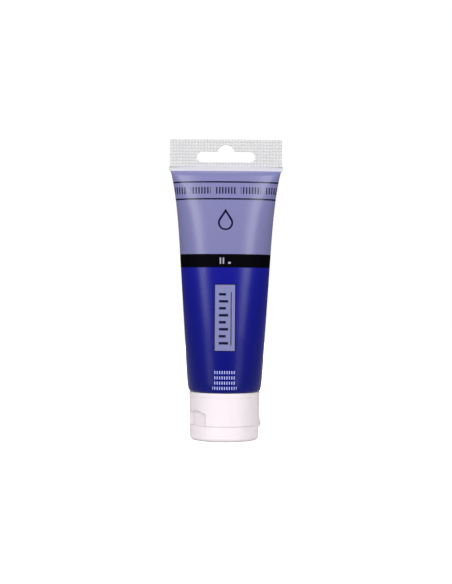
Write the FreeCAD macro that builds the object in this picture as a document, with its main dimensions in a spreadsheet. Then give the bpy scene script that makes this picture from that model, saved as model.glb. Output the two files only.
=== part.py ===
import FreeCAD, Part
"""Squeeze tube of artists' paint that stands on a screw-on flip-top cap.

Frame: millimetres, +Z up, the lid's flat face on Z = 0, the tube's axis on Z,
the flattened tube end wide along X, its printed front facing -Y.
"""
import math
import os

import Sketcher

V = FreeCAD.Vector

# name: (value in mm, or degrees for *_angle, what it sets)
SIZES = {
    "tube_radius": (16.0, "outer radius of the round sleeve"),
    "sleeve_wall": (0.5, "sleeve wall"),
    "sleeve_length": (94.6, "round end to the seal line"),
    "end_round": (2.4, "rounding of the sleeve over the shoulder"),
    "shoulder_gap": (0.1, "sleeve end above the cap rim"),
    "header_height": (13.6, "seal line to the top edge"),
    "header_thickness": (1.0, "two walls welded flat"),
    "header_trim": (0.46, "taken off each side of the flat width"),
    "ear_height": (2.0, "untrimmed band over the seal line"),
    "corner_radius": (0.6, "header's top corners"),
    "slot_width": (25.6, "hanging slot, overall"),
    "slot_height": (4.84, "hanging slot, its two wings"),
    "slot_drop": (7.7, "top edge to the middle of the wings"),
    "bump_width": (7.2, "peg rise in the middle of the slot"),
    "bump_height": (2.95, "rise over the wings"),
    "cap_height": (21.0, "lid face to cap rim"),
    "lid_height": (6.7, "lid face to the parting plane"),
    "lid_step": (0.15, "lid rim inside the wall's face"),
    "parting_gap": (0.10, "slit between lid rim and cap wall"),
    "rim_inset": (0.45, "cap rim inside the tube radius"),
    "rim_step": (0.1, "band at the cap rim proud of the wall"),
    "rim_band": (1.9, "height of that band"),
    "cap_taper": (0.1, "wall radius lost from rim to parting plane"),
    "cap_wall": (1.2, "cap and lid side wall"),
    "deck_thickness": (1.4, "cap deck"),
    "deck_drop": (0.3, "deck face below the parting plane"),
    "land_gap": (0.3, "snap land inside the lid wall"),
    "land_depth": (1.4, "snap land below the parting plane"),
    "land_width": (1.3, "snap land wall"),
    "spout_radius": (2.6, "spout, outside"),
    "spout_bore": (1.5, "spout, inside radius"),
    "spout_length": (2.2, "spout below the deck"),
    "pin_gap": (0.35, "room for the swinging plug pin in the spout"),
    "pin_engage": (1.9, "plug pin inside the spout"),
    "lid_floor": (1.3, "lid floor"),
    "lid_round": (1.6, "rounding of the lid's lower edge"),
    "lid_taper": (0.1, "lid radius lost down to the floor"),
    "thread_pitch": (3.0, "one turn"),
    "thread_turns": (2.0, "turns on the neck"),
    "cap_thread_turns": (1.5, "turns in the cap"),
    "thread_height": (1.0, "ridge height"),
    "thread_base": (1.5, "ridge width at its foot"),
    "thread_crest": (0.7, "ridge width at its crest"),
    "thread_gap": (0.3, "radial room between crest and opposite root"),
    "thread_start": (1.2, "first ridge from the neck's end"),
    "neck_radius": (7.4, "thread root on the neck"),
    "neck_wall": (1.3, "neck wall and its end wall"),
    "orifice_radius": (1.9, "hole in the neck's end wall"),
    "skirt_wall": (1.4, "threaded skirt inside the cap"),
    "skirt_clear": (3.2, "skirt end below the cap rim"),
    "shoulder_drop": (2.3, "fall of the conical shoulder"),
    "shoulder_wall": (1.2, "shoulder wall"),
    "weld_height": (2.5, "sleeve overlap on the shoulder's skirt"),
    "seal_thickness": (0.8, "gasket between neck and deck"),
    "seal_inset": (0.3, "gasket edge inside the neck radius"),
    "hinge_angle": (32.0, "hinge direction from +X, degrees"),
    "hinge_stand": (0.65, "hinge line outside the wall at the parting plane"),
    "hinge_length": (10.6, "hinge land along the hinge line"),
    "hinge_set": (0.05, "hinge land inside the hinge line"),
    "hinge_slit": (0.3, "land face to the parting plane"),
    "film_thickness": (0.3, "living hinge"),
    "recess_depth": (1.3, "thumb recess depth in the wall"),
    "recess_side": (5.2, "recess side height over the parting plane"),
    "recess_in_half": (2.7, "half width of the recess at its inner plane"),
    "recess_in_crown": (5.4, "crown there, over the parting plane"),
    "recess_out_half": (17.4, "half width of the recess at its outer plane"),
    "recess_out_crown": (6.9, "crown there, over the parting plane"),
    "recess_in_set": (1.17, "inner plane inside the recess floor"),
    "recess_out_set": (0.53, "outer plane outside the wall"),
    "recess_back": (7.5, "half width of the pad behind the recess"),
    "air_space": (10.2, "paint level below the seal line"),
    "fill_gap": (0.06, "paint to wall, to keep the solids apart"),
}

# (share of the way from the round part to the seal line, half width / inner round radius)
FLARE = [
    (0.0000, 1.0000), (0.2565, 1.1129), (0.5295, 1.2226), (0.7697, 1.3355),
    (0.8897, 1.4129), (0.9552, 1.4806), (0.9902, 1.5226), (1.0022, 1.5660),
]
CAVITY_SECTIONS = 7  # the cavity stops one section short of the seal line


class Size:
    """A length with the spreadsheet expression that gives it."""

    def __init__(self, text, value):
        self.text = text
        self.value = float(value)

    def _join(self, other, sign, value):
        return Size("(%s %s %s)" % (self.text, sign, other.text), value)

    def __add__(self, other):
        other = as_size(other)
        return self._join(other, "+", self.value + other.value)

    def __sub__(self, other):
        other = as_size(other)
        return self._join(other, "-", self.value - other.value)

    def __mul__(self, other):
        other = as_size(other)
        return self._join(other, "*", self.value * other.value)

    def __truediv__(self, other):
        other = as_size(other)
        return self._join(other, "/", self.value / other.value)

    def __neg__(self):
        return Size("(-1 * %s)" % self.text, -self.value)


def as_size(number):
    """Wrap a plain number as a Size."""
    return number if isinstance(number, Size) else Size("%.6f" % number, number)


doc = FreeCAD.newDocument("paint_tube")
sheet = doc.addObject("Spreadsheet::Sheet", "Sizes")
S = {}
for row, (name, (value, note)) in enumerate(SIZES.items(), start=1):
    sheet.set("A%d" % row, name)
    sheet.set("B%d" % row, "%g" % value)
    sheet.set("C%d" % row, note)
    sheet.setAlias("B%d" % row, name)
    S[name] = Size("Sizes.%s" % name, value)
doc.recompute()


# ---------------------------------------------------------------- helpers
def new_body(label):
    """Add a PartDesign body."""
    body = doc.addObject("PartDesign::Body", label)
    body.Label = label
    return body


def origin_plane(body, role):
    """The body's own origin plane with this role."""
    return next(f for f in body.Origin.OriginFeatures if f.Role == role)


def new_sketch(body, role, offset=None):
    """Add a sketch on an origin plane, moved along its normal by a Size."""
    sketch = body.newObject("Sketcher::SketchObject", "Sketch")
    sketch.AttachmentSupport = [(origin_plane(body, role), "")]
    sketch.MapMode = "FlatFace"
    if offset is not None:
        sketch.AttachmentOffset = FreeCAD.Placement(V(0, 0, offset.value), FreeCAD.Rotation())
        sketch.setExpression(".AttachmentOffset.Base.z", offset.text)
    return sketch


def pin_point(sketch, geo, pos, x, y):
    """Hold a point at (x, y) with two dimensions bound to the sheet."""
    for kind, size, axis in (("DistanceX", x, -2), ("DistanceY", y, -1)):
        size = as_size(size)
        if size.value == 0.0:
            sketch.addConstraint(Sketcher.Constraint("PointOnObject", geo, pos, axis))
            continue
        index = sketch.addConstraint(
            Sketcher.Constraint(kind, -1, 1, geo, pos, size.value))
        sketch.setExpression("Constraints[%d]" % index, size.text)


def polygon(sketch, points):
    """Close an outline, each corner dimensioned.

    A point is (x, y), or (x, y, cx, cy) where the side that starts there is an arc
    about (cx, cy).
    """
    ends = []
    for here, there in zip(points, points[1:] + points[:1]):
        a = (as_size(here[0]).value, as_size(here[1]).value)
        b = (as_size(there[0]).value, as_size(there[1]).value)
        if len(here) == 2:
            geo = sketch.addGeometry(Part.LineSegment(V(a[0], a[1], 0), V(b[0], b[1], 0)), False)
            ends.append((geo, 1, 2))
            continue
        c = (as_size(here[2]).value, as_size(here[3]).value)
        turn = (a[0] - c[0]) * (b[1] - c[1]) - (a[1] - c[1]) * (b[0] - c[0])
        geo = arc_between(sketch, a, b, c) if turn > 0 else arc_between(sketch, b, a, c)
        ends.append((geo, 1, 2) if turn > 0 else (geo, 2, 1))
    for (geo, _, last), (following, first, _) in zip(ends, ends[1:] + ends[:1]):
        sketch.addConstraint(Sketcher.Constraint("Coincident", geo, last, following, first))
    for (geo, first, _), point in zip(ends, points):
        pin_point(sketch, geo, first, point[0], point[1])
        if len(point) == 4:
            centre = as_size(point[2])
            index = sketch.addConstraint(Sketcher.Constraint(
                "DistanceX", -1, 1, geo, 3, centre.value))
            sketch.setExpression("Constraints[%d]" % index, centre.text)


def arc_between(sketch, start, end, centre):
    """An anticlockwise arc from its ends and its centre, all in numbers."""
    a0 = math.atan2(start[1] - centre[1], start[0] - centre[0])
    a1 = math.atan2(end[1] - centre[1], end[0] - centre[0])
    radius = math.hypot(start[0] - centre[0], start[1] - centre[1])
    circle = Part.Circle(V(centre[0], centre[1], 0), V(0, 0, 1), radius)
    return sketch.addGeometry(Part.ArcOfCircle(circle, a0, a1), False)


def finish(body, feature):
    """Make a feature the body's tip."""
    body.Tip = feature
    return feature


def revolve(body, points, kind="PartDesign::Revolution"):
    """Turn an (r, z) profile about Z, adding or cutting."""
    sketch = new_sketch(body, "XZ_Plane")
    polygon(sketch, points)
    feature = body.newObject(kind, "Turn")
    feature.Profile = sketch
    feature.ReferenceAxis = (sketch, ["V_Axis"])
    feature.Angle = 360
    return finish(body, feature)


def loft(body, sketches, kind="PartDesign::AdditiveLoft"):
    """Loft through sketches, adding or cutting."""
    feature = body.newObject(kind, "Loft")
    feature.Profile = sketches[0]
    feature.Sections = sketches[1:]
    feature.Ruled = False
    return finish(body, feature)


def pad(body, sketch, length, kind="PartDesign::Pad", midplane=True):
    """Pad or pocket a sketch, to both sides of its plane by default."""
    feature = body.newObject(kind, "Pad")
    feature.Profile = sketch
    length = as_size(length)
    feature.Length = length.value
    feature.setExpression("Length", length.text)
    if hasattr(feature, "SideType"):
        feature.SideType = "Symmetric" if midplane else "One side"
    else:
        feature.Midplane = midplane
    return finish(body, feature)


def helix_ridge(body, root, z_first, turns, outward):
    """Add a thread ridge that starts over +X at z_first."""
    reach = S["thread_height"] * (1.0 if outward else -1.0)
    sink = 0.25 if outward else -0.25
    foot, crest = S["thread_base"] / 2, S["thread_crest"] / 2
    sketch = new_sketch(body, "XZ_Plane")
    polygon(sketch, [(root - sink, z_first - foot), (root, z_first - foot),
                     (root + reach, z_first - crest), (root + reach, z_first + crest),
                     (root, z_first + foot), (root - sink, z_first + foot)])
    ridge = body.newObject("PartDesign::AdditiveHelix", "Thread")
    ridge.Profile = sketch
    ridge.ReferenceAxis = (sketch, ["V_Axis"])
    ridge.Mode = 0
    height = S["thread_pitch"] * turns
    ridge.Pitch = S["thread_pitch"].value
    ridge.Height = height.value
    ridge.setExpression("Pitch", S["thread_pitch"].text)
    ridge.setExpression("Height", height.text)
    ridge.LeftHanded = False
    ridge.Reversed = False
    return finish(body, ridge)


def fillet_edges(body, base, edges, size):
    """Round the named edges of a feature."""
    feature = body.newObject("PartDesign::Fillet", "Round")
    feature.Base = (base, edges)
    feature.Radius = size.value
    feature.setExpression("Radius", size.text)
    return finish(body, feature)


def edges_where(feature, test):
    """Names of the edges whose middle point passes the test."""
    names = []
    for number, edge in enumerate(feature.Shape.Edges, start=1):
        middle = edge.valueAt((edge.FirstParameter + edge.LastParameter) / 2)
        if test(middle, edge):
            names.append("Edge%d" % number)
    return names


# ------------------------------------------------- ovals of constant girth
def oval(ratio):
    """Four-arc oval of girth 2*pi and half width ratio: (side r, big r, junction angle)."""
    stadium = (2 * math.pi - 4 * ratio) / (2 * math.pi - 4)
    if ratio <= 1.0:
        return 1.0, 1.0, math.pi / 4
    side = stadium * (1 - 0.4 * (1 - stadium))
    low, high = 1e-4, math.pi / 2 - 1e-4
    for _ in range(80):
        angle = (low + high) / 2
        big = side + (ratio - side) / math.cos(angle)
        girth = 4 * (side * angle + big * (math.pi / 2 - angle))
        low, high = (angle, high) if girth > 2 * math.pi else (low, angle)
    return side, big, angle


def oval_sketch(body, share, ratio, grow):
    """One oval section: inner oval of this ratio, offset outward by grow."""
    side, big, angle = oval(ratio)
    inner = S["tube_radius"] - S["sleeve_wall"]
    depth = side + (big - side) * (1 - math.sin(angle))
    xj = inner * (ratio - side + side * math.cos(angle)) + grow * math.cos(angle)
    yj = inner * (side * math.sin(angle)) + grow * math.sin(angle)
    xc = inner * (ratio - side)
    yc = inner * (depth - big)
    level = loft_z0 + (seal_z - loft_z0) * share
    sketch = new_sketch(body, "XY_Plane", level)
    x, y, cx, cy = xj.value, yj.value, xc.value, yc.value
    arc_between(sketch, (x, -y), (x, y), (cx, 0))
    arc_between(sketch, (x, y), (-x, y), (0, cy))
    arc_between(sketch, (-x, y), (-x, -y), (-cx, 0))
    arc_between(sketch, (-x, -y), (x, -y), (0, -cy))
    for i in range(4):
        sketch.addConstraint(Sketcher.Constraint("Coincident", i, 2, (i + 1) % 4, 1))
    corners = [(xj, -yj), (xj, yj), (-xj, yj), (-xj, -yj)]
    for i, (px, py) in enumerate(corners):
        pin_point(sketch, i, 1, px, py)
    for i, (kind, size) in enumerate((("DistanceX", xc), ("DistanceY", yc),
                                      ("DistanceX", -xc), ("DistanceY", -yc))):
        if abs(size.value) < 1e-9:
            sketch.addConstraint(Sketcher.Constraint(
                "PointOnObject", i, 3, -2 if kind == "DistanceX" else -1))
            continue
        index = sketch.addConstraint(Sketcher.Constraint(kind, -1, 1, i, 3, size.value))
        sketch.setExpression("Constraints[%d]" % index, size.text)
    return sketch


# ------------------------------------------------------- derived positions
sleeve_z0 = S["cap_height"] + S["shoulder_gap"] + S["end_round"]
sleeve_end = S["cap_height"] + S["shoulder_gap"]
seal_z = sleeve_z0 + S["sleeve_length"]
weld_top = sleeve_z0 + S["weld_height"]
loft_z0 = weld_top + 0.5
top_z = seal_z + S["header_height"]
round_r = S["tube_radius"] - S["end_round"]
inner_r = S["tube_radius"] - S["sleeve_wall"]
flat_half = S["tube_radius"] * (math.pi / 2)
header_half = flat_half - S["header_trim"]

rim_r = S["tube_radius"] - S["rim_inset"]
wall_top_r = rim_r - S["rim_step"]
wall_low_r = wall_top_r - S["cap_taper"]
wall_in_r = wall_low_r - S["cap_wall"]
parting = S["lid_height"]
wall_low_z = parting + S["parting_gap"] / 2
lid_rim_z = parting - S["parting_gap"] / 2
deck_low_z = parting - S["deck_drop"]
deck_top_z = deck_low_z + S["deck_thickness"]
neck_end_z = deck_top_z + S["seal_thickness"]
lid_in_r = wall_in_r
land_r = lid_in_r - S["land_gap"]
skirt_in_r = S["neck_radius"] + S["thread_height"] + S["thread_gap"]
skirt_top_z = S["cap_height"] - S["skirt_clear"]
neck_thread_z = neck_end_z + S["thread_start"]
spout_z = deck_low_z - S["spout_length"]
hinge_reach = wall_low_r + S["hinge_stand"]
cap_thread_z = (neck_thread_z + S["thread_pitch"] * 0.5
                + S["thread_pitch"] * S["hinge_angle"] / 360.0)


# ------------------------------------------------------------ tube sleeve
def build_sleeve():
    """Printed sleeve with its rounded end and its flat header."""
    body = new_body("tube_sleeve")
    outer = [oval_sketch(body, share, ratio, S["sleeve_wall"]) for share, ratio in FLARE]
    loft(body, outer[:CAVITY_SECTIONS])
    loft(body, outer[CAVITY_SECTIONS - 1:])

    # round part and rounded lower end, over the head's skirt and shoulder
    inner_round = S["end_round"] - S["sleeve_wall"]
    revolve(body, [(inner_r, sleeve_z0), (inner_r, loft_z0), (S["tube_radius"], loft_z0),
                   (S["tube_radius"], sleeve_z0, round_r, sleeve_z0),
                   (round_r, sleeve_end),
                   (round_r, sleeve_z0 - inner_round, round_r, sleeve_z0)])

    # header: full-width ears over the seal line, then the trimmed tab
    ear, corner = seal_z + S["ear_height"], S["corner_radius"]
    square = header_half - corner
    sketch = new_sketch(body, "XZ_Plane")
    polygon(sketch, [(-flat_half, seal_z), (flat_half, seal_z), (flat_half, ear),
                     (header_half, ear), (header_half, top_z - corner, square, top_z - corner),
                     (square, top_z), (-square, top_z, -square, top_z - corner),
                     (-header_half, top_z - corner), (-header_half, ear), (-flat_half, ear)])
    pad(body, sketch, S["header_thickness"])

    # hollow inside, one section short of the seal line
    inner = [oval_sketch(body, share, ratio, as_size(0.0))
             for share, ratio in FLARE[:CAVITY_SECTIONS]]
    loft(body, inner, "PartDesign::SubtractiveLoft")

    # hanging slot: two round-ended wings and the rise for a peg
    middle = top_z - S["slot_drop"]
    wing = S["slot_height"] / 2
    reach = S["slot_width"] / 2 - wing
    sketch = new_sketch(body, "XZ_Plane")
    z = middle.value
    right = arc_between(sketch, (reach.value, z - wing.value), (reach.value, z + wing.value),
                        (reach.value, z))
    left = arc_between(sketch, (-reach.value, z + wing.value), (-reach.value, z - wing.value),
                       (-reach.value, z))
    for geo, sign in ((right, 1.0), (left, -1.0)):
        pin_point(sketch, geo, 1, reach * sign, middle - wing * sign)
        pin_point(sketch, geo, 2, reach * sign, middle + wing * sign)
        centre = reach * sign
        index = sketch.addConstraint(Sketcher.Constraint(
            "DistanceX", -1, 1, geo, 3, centre.value))
        sketch.setExpression("Constraints[%d]" % index, centre.text)
    side, rise = S["bump_width"] / 2, S["bump_height"]
    lip = middle + wing
    for here, there in (((reach, lip), (side, lip)), ((-side, lip), (-reach, lip))):
        geo = sketch.addGeometry(Part.LineSegment(
            V(here[0].value, here[1].value, 0), V(there[0].value, there[1].value, 0)), False)
        pin_point(sketch, geo, 1, *here)
        pin_point(sketch, geo, 2, *there)
    # the rise is a round arch that passes bump_height over the wings
    arch_z = lip + rise - (side * side + rise * rise) / (rise * 2)
    arch = arc_between(sketch, (side.value, lip.value), (-side.value, lip.value),
                       (0.0, arch_z.value))
    pin_point(sketch, arch, 1, side, lip)
    pin_point(sketch, arch, 2, -side, lip)
    index = sketch.addConstraint(Sketcher.Constraint("DistanceY", -1, 1, arch, 3, arch_z.value))
    sketch.setExpression("Constraints[%d]" % index, arch_z.text)
    base = sketch.addGeometry(Part.LineSegment(
        V(-reach.value, z - wing.value, 0), V(reach.value, z - wing.value, 0)), False)
    pin_point(sketch, base, 1, -reach, middle - wing)
    pin_point(sketch, base, 2, reach, middle - wing)
    pad(body, sketch, S["header_thickness"] * 4, "PartDesign::Pocket")
    return body


# -------------------------------------------------------------- tube head
def build_head():
    """Moulded head: skirt welded in the sleeve, conical shoulder, threaded neck."""
    body = new_body("tube_head")
    inner_round = S["end_round"] - S["sleeve_wall"]
    skirt_in = inner_r - 1.0
    cone_z = sleeve_end - S["shoulder_drop"]
    bore = S["neck_radius"] - S["neck_wall"]
    outline = [(skirt_in, weld_top), (inner_r, weld_top),
               (inner_r, sleeve_z0, round_r, sleeve_z0), (round_r, sleeve_z0 - inner_round)]
    outline += [(round_r, sleeve_end), (S["neck_radius"], cone_z),
                (S["neck_radius"], neck_end_z + 0.4), (S["neck_radius"] - 0.4, neck_end_z),
                (S["orifice_radius"], neck_end_z),
                (S["orifice_radius"], neck_end_z + S["neck_wall"]),
                (bore, neck_end_z + S["neck_wall"]), (bore, cone_z + S["shoulder_wall"]),
                (round_r - 0.6, sleeve_end + S["shoulder_wall"])]
    revolve(body, outline)
    helix_ridge(body, S["neck_radius"], neck_thread_z, S["thread_turns"], True)
    return body


# ------------------------------------------------------------- paint fill
def build_fill():
    """The paint: fills the sleeve up to a little air, and the head down to its orifice."""
    body = new_body("paint_fill")
    sections = [oval_sketch(body, share, ratio, -S["fill_gap"])
                for share, ratio in FLARE[:CAVITY_SECTIONS]]
    loft(body, sections)
    level = seal_z - S["air_space"]
    revolve(body, [(as_size(0.0), level), (flat_half * 2, level), (flat_half * 2, seal_z),
                   (as_size(0.0), seal_z)], "PartDesign::Groove")
    gap = S["fill_gap"]
    cone_z = sleeve_end - S["shoulder_drop"]
    bore = S["neck_radius"] - S["neck_wall"] - gap
    skirt_in = inner_r - 1.0
    # lower end, inside the head
    revolve(body, [(as_size(0.0), neck_end_z + S["neck_wall"] + gap),
                   (bore, neck_end_z + S["neck_wall"] + gap),
                   (bore, cone_z + S["shoulder_wall"] + gap),
                   (round_r - 0.6 - gap, sleeve_end + S["shoulder_wall"] + gap),
                   (skirt_in - gap, weld_top + gap), (inner_r - gap, weld_top + gap),
                   (inner_r - gap, loft_z0), (as_size(0.0), loft_z0)])
    return body


# -------------------------------------------------------------- seal ring
def build_seal():
    """Gasket between the neck's end and the cap's deck."""
    body = new_body("seal_ring")
    outer = S["neck_radius"] - S["seal_inset"]
    revolve(body, [(S["orifice_radius"] + 0.3, deck_top_z), (outer, deck_top_z),
                   (outer, neck_end_z), (S["orifice_radius"] + 0.3, neck_end_z)])
    return body


# --------------------------------------------------------------- cap base
def hinge_land(body, low, high, tip):
    """Straight land for the living hinge: low and high are its feet, tip its blunt edge."""
    reach = hinge_reach - S["hinge_set"]
    foot = wall_in_r + 0.05
    slit = parting - S["hinge_slit"] if tip == "down" else parting + S["hinge_slit"]
    blunt = slit - 0.3 if tip == "down" else slit + 0.3
    outer_foot = low if tip == "down" else high
    sketch = new_sketch(body, "XZ_Plane")
    polygon(sketch, [(foot, outer_foot), (foot, slit), (reach, slit), (reach, blunt),
                     (reach - 0.65, outer_foot)])
    return pad(body, sketch, S["hinge_length"])


def recess_sketch(body, reach, half_w, crown):
    """Arch of the thumb recess on a plane at this reach from the axis."""
    sketch = new_sketch(body, "YZ_Plane", as_size(0.0) - reach)
    side_z, crown_z, foot_z = parting + S["recess_side"], parting + crown, parting - 2.5
    rise = crown - S["recess_side"]
    arch_z = crown_z - (half_w * half_w + rise * rise) / (rise * 2)
    path = [(as_size(0.0) - half_w, side_z), (as_size(0.0) - half_w, foot_z),
            (half_w, foot_z), (half_w, side_z)]
    for here, there in zip(path, path[1:]):
        geo = sketch.addGeometry(Part.LineSegment(
            V(here[0].value, here[1].value, 0), V(there[0].value, there[1].value, 0)), False)
        pin_point(sketch, geo, 1, *here)
        pin_point(sketch, geo, 2, *there)
    geo = arc_between(sketch, (half_w.value, side_z.value), (-half_w.value, side_z.value),
                      (0, arch_z.value))
    sketch.addConstraint(Sketcher.Constraint("Coincident", geo, 1, 2, 2))
    sketch.addConstraint(Sketcher.Constraint("Coincident", geo, 2, 0, 1))
    index = sketch.addConstraint(Sketcher.Constraint("DistanceY", -1, 1, geo, 3, arch_z.value))
    sketch.setExpression("Constraints[%d]" % index, arch_z.text)
    return sketch


def build_cap_base():
    """Screw-on part of the cap: wall, deck with spout and snap land, threaded skirt."""
    body = new_body("cap_shell")
    land_z = parting - S["land_depth"]
    step_z = S["cap_height"] - S["rim_band"]
    skirt_out = skirt_in_r + S["skirt_wall"]
    revolve(body, [
        (S["spout_bore"], deck_top_z), (S["spout_bore"], spout_z),
        (S["spout_radius"] - 0.4, spout_z), (S["spout_radius"], deck_low_z),
        (land_r - S["land_width"], deck_low_z), (land_r - S["land_width"], land_z),
        (land_r - 0.3, land_z), (land_r, land_z + 0.3), (land_r, wall_low_z),
        (wall_low_r, wall_low_z), (wall_top_r, step_z), (rim_r, step_z + S["rim_step"]),
        (rim_r, S["cap_height"] - 0.4), (rim_r - 0.4, S["cap_height"]),
        (wall_in_r, S["cap_height"]), (wall_in_r, deck_top_z), (skirt_out, deck_top_z),
        (skirt_out, skirt_top_z), (skirt_in_r, skirt_top_z), (skirt_in_r, deck_top_z)])
    helix_ridge(body, skirt_in_r, cap_thread_z, S["cap_thread_turns"], False)
    hinge_land(body, parting, parting + 2.6, "up")

    # pad behind the thumb recess, so that the wall keeps its thickness there
    half = math.degrees(math.asin(S["recess_back"].value / wall_in_r.value))
    sketch = new_sketch(body, "XZ_Plane")
    polygon(sketch, [(-(wall_in_r + 0.3), deck_top_z - 0.3),
                     (-(wall_in_r - S["recess_depth"] + 0.1), deck_top_z - 0.3),
                     (-(wall_in_r - S["recess_depth"] + 0.1), parting + S["recess_out_crown"] + 0.7),
                     (-(wall_in_r + 0.3), parting + S["recess_out_crown"] + 1.3)])
    backing = body.newObject("PartDesign::Revolution", "Backing")
    backing.Profile = sketch
    backing.ReferenceAxis = (sketch, ["V_Axis"])
    backing.Angle = 2 * half
    if hasattr(backing, "SideType"):
        backing.SideType = "Symmetric"
    else:
        backing.Midplane = True
    finish(body, backing)

    # thumb recess: an arch that widens outwards, outside a concentric floor
    arch = new_body("recess_arch")
    floor_r = wall_low_r - S["recess_depth"]
    loft(arch, [
        recess_sketch(arch, floor_r - S["recess_in_set"], S["recess_in_half"],
                      S["recess_in_crown"]),
        recess_sketch(arch, wall_low_r + S["recess_out_set"], S["recess_out_half"],
                      S["recess_out_crown"])])

    drum = doc.addObject("Part::Cylinder", "recess_floor")
    drum.setExpression("Radius", floor_r.text)
    drum.setExpression("Height", (S["cap_height"] * 2).text)
    cutter = doc.addObject("Part::Cut", "recess_cutter")
    cutter.Base = arch
    cutter.Tool = drum
    cap = doc.addObject("Part::Cut", "cap_base")
    cap.Base = body
    cap.Tool = cutter
    return cap


# ---------------------------------------------------------------- cap lid
def build_lid():
    """Flip lid: shallow cup with a plug pin for the spout and a hinge land."""
    body = new_body("cap_lid")
    rim_r = wall_low_r - S["lid_step"]
    foot_r = rim_r - S["lid_taper"]
    pin_r = S["spout_bore"] - S["pin_gap"]
    pin_top = spout_z + S["pin_engage"]
    cup = revolve(body, [
        (as_size(0.0), as_size(0.0)), (foot_r, as_size(0.0)), (rim_r, lid_rim_z),
        (lid_in_r, lid_rim_z), (lid_in_r, S["lid_floor"]), (pin_r + 0.25, S["lid_floor"]),
        (pin_r, S["lid_floor"] + 2.0), (pin_r, pin_top - 0.6), (pin_r - 0.35, pin_top),
        (as_size(0.0), pin_top)])
    doc.recompute()
    rim = edges_where(cup, lambda m, e: abs(m.z) < 0.01
                      and abs(math.hypot(m.x, m.y) - foot_r.value) < 0.05)
    fillet_edges(body, cup, rim, S["lid_round"])
    hinge_land(body, parting - 1.6, parting, "down")
    return body


# ------------------------------------------------------------ hinge film
def build_film():
    """Thin web that joins the lid's hinge land to the cap's."""
    body = new_body("hinge_film")
    outer = hinge_reach - S["hinge_set"]
    sketch = new_sketch(body, "XZ_Plane")
    polygon(sketch, [(outer - S["film_thickness"], parting - S["hinge_slit"]),
                     (outer, parting - S["hinge_slit"]), (outer, parting + S["hinge_slit"]),
                     (outer - S["film_thickness"], parting + S["hinge_slit"])])
    pad(body, sketch, S["hinge_length"] - 0.6)
    return body


def turn_to_hinge(thing):
    """Turn a cap piece so that its own +X points at the hinge."""
    thing.Placement = FreeCAD.Placement(V(0, 0, 0), FreeCAD.Rotation(V(0, 0, 1), 0))
    thing.setExpression(".Placement.Rotation.Axis.z", "1")
    thing.setExpression(".Placement.Rotation.Axis.x", "0")
    thing.setExpression(".Placement.Rotation.Axis.y", "0")
    thing.setExpression(".Placement.Rotation.Angle", S["hinge_angle"].text)


pieces = [build_sleeve(), build_head(), build_fill(), build_seal()]
for made in (build_cap_base(), build_lid(), build_film()):
    turn_to_hinge(made)
    pieces.append(made)
doc.recompute()

# ------------------------------------------------------------------ export
for item in doc.Objects:
    if "Invalid" in item.State or "Error" in item.State:
        raise RuntimeError("%s (%s) did not compute: %s"
                           % (item.Name, item.getParentGeoFeatureGroup(), item.getStatusString()))
os.makedirs("parts", exist_ok=True)
for piece in pieces:
    shape = piece.Shape
    if not shape.isValid() or len(shape.Solids) != 1:
        raise RuntimeError("%s: valid=%s, %d solids"
                           % (piece.Label, shape.isValid(), len(shape.Solids)))
    shape.exportStep("parts/%s.step" % piece.Label)
    box = shape.BoundBox
    print("%-12s %9.1f mm3  x %.2f..%.2f  y %.2f..%.2f  z %.2f..%.2f"
          % (piece.Label, shape.Volume, box.XMin, box.XMax, box.YMin, box.YMax,
             box.ZMin, box.ZMax))
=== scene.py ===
import logging
import math
from dataclasses import dataclass, field
from enum import Enum
from typing import Iterable, Optional, Sequence

import bmesh
import bpy
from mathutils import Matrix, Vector


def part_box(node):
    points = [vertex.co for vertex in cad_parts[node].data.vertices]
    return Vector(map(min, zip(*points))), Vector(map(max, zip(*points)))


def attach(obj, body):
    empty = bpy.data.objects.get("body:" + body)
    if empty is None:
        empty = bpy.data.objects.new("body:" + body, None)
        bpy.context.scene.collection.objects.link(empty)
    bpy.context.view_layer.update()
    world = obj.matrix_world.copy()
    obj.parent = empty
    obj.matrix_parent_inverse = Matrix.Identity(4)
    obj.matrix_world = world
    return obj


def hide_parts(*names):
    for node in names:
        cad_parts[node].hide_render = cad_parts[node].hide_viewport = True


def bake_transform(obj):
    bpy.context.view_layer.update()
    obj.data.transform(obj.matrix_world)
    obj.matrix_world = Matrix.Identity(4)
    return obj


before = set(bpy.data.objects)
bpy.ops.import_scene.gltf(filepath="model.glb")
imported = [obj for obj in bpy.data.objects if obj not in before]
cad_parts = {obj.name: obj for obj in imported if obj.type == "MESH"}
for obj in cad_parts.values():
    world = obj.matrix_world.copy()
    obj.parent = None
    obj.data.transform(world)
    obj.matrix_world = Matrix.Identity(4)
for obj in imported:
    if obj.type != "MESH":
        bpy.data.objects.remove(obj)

LOG = logging.getLogger("paint_tube")
MM = 0.001
INK_BAND = (75.2, 81.0)  # foot and top of the dark band, in mm
WHITE = (1.0, 1.0, 1.0, 1.0)


class Facing(Enum):
    """Which side of the flat header a sheet looks to."""

    FRONT = -1.0
    BACK = 1.0


# ------------------------------------------------------------------ helpers
def linear(hex_code: str) -> tuple[float, float, float, float]:
    """Turn an sRGB hex colour into linear RGBA.

    Args:
        hex_code: six hex digits.

    Returns:
        The linear colour with alpha 1.
    """
    out = []
    for start in (0, 2, 4):
        value = int(hex_code[start:start + 2], 16) / 255.0
        out.append(value / 12.92 if value <= 0.04045 else ((value + 0.055) / 1.055) ** 2.4)
    return (out[0], out[1], out[2], 1.0)


def start_material(name: str) -> tuple[bpy.types.Material, bpy.types.NodeTree]:
    """Start a material with an empty node tree.

    Args:
        name: the real material's name.

    Returns:
        The material and its tree.
    """
    material = bpy.data.materials.new(name)
    material.use_nodes = True
    material.node_tree.nodes.clear()
    return material, material.node_tree


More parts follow.
